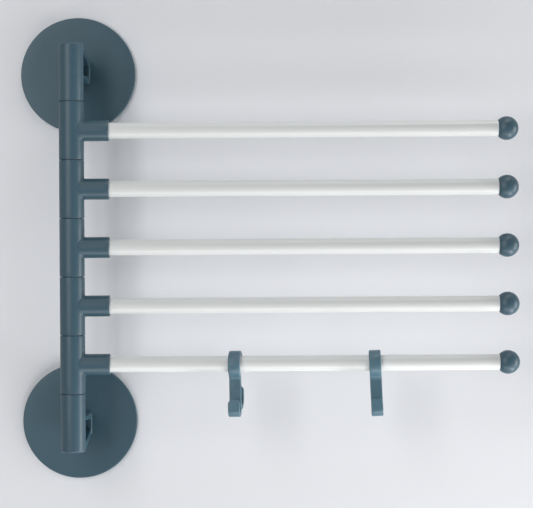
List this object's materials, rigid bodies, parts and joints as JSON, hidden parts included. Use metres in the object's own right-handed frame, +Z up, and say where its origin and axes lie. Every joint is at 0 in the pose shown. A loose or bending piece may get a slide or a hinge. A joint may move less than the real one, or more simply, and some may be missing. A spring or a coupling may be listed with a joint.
{
  "type": "swing arm towel bar",
  "caption": "Wall-held towel rack: round discs carry an upright column on which straight bars with ball ends swing one by one, with small double hooks riding on the lowest bar.",
  "frame": {"origin": "middle of the lower disc's wall side, on the wall", "axes": "+X along the arms at rest, +Y into the wall, +Z up along the column"},
  "size_m": [0.3847, 0.0667, 0.3628],
  "materials": {
    "body_plastic": "satin moulded plastic, blue-grey",
    "bar_paint": "smooth semi-gloss white powder coat",
    "shaft_steel": "drawn",
    "washer_plastic": "smooth, dark",
    "adhesive_foam": "soft closed-cell foam"
  },
  "bodies": {
    "root": {"wall_disc_lower": "body_plastic", "adhesive_pad_lower": "adhesive_foam", "end_post_lower": "body_plastic", "wall_disc_upper": "body_plastic", "adhesive_pad_upper": "adhesive_foam", "end_post_upper": "body_plastic", "centre_shaft": "shaft_steel", "swivel_washers": "washer_plastic", "bracket_screws": "shaft_steel"},
    "arm_1": {"swivel_sleeve_1": "body_plastic", "towel_bar_1": "bar_paint", "ball_cap_1": "body_plastic"},
    "arm_2": {"swivel_sleeve_2": "body_plastic", "towel_bar_2": "bar_paint", "ball_cap_2": "body_plastic"},
    "arm_3": {"swivel_sleeve_3": "body_plastic", "towel_bar_3": "bar_paint", "ball_cap_3": "body_plastic"},
    "arm_4": {"swivel_sleeve_4": "body_plastic", "towel_bar_4": "bar_paint", "ball_cap_4": "body_plastic"},
    "arm_5": {"swivel_sleeve_5": "body_plastic", "towel_bar_5": "bar_paint", "ball_cap_5": "body_plastic"},
    "hook_left": {"double_hook_left": "body_plastic"},
    "hook_right": {"double_hook_right": "body_plastic"}
  },
  "joints": [
    {"name": "arm_1_swing", "type": "hinge", "parent": "root", "child": "arm_1", "pos_m": [0, -0.0542, 0.2252], "axis": [0, 0, -1], "range_deg": [-5, 185]},
    {"name": "arm_2_swing", "type": "hinge", "parent": "root", "child": "arm_2", "pos_m": [0, -0.0542, 0.1808], "axis": [0, 0, -1], "range_deg": [-5, 185]},
    {"name": "arm_3_swing", "type": "hinge", "parent": "root", "child": "arm_3", "pos_m": [0, -0.0542, 0.1364], "axis": [0, 0, -1], "range_deg": [-5, 185]},
    {"name": "arm_4_swing", "type": "hinge", "parent": "root", "child": "arm_4", "pos_m": [0, -0.0542, 0.092], "axis": [0, 0, -1], "range_deg": [-5, 185]},
    {"name": "arm_5_swing", "type": "hinge", "parent": "root", "child": "arm_5", "pos_m": [0, -0.0542, 0.0476], "axis": [0, 0, -1], "range_deg": [-5, 185]},
    {"name": "left_hook_slide", "type": "slide", "parent": "arm_5", "child": "hook_left", "axis": [1, 0, 0], "range_m": [-0.087, 0.046]},
    {"name": "right_hook_slide", "type": "slide", "parent": "arm_5", "child": "hook_right", "axis": [1, 0, 0], "range_m": [-0.046, 0.088]}
  ]
}
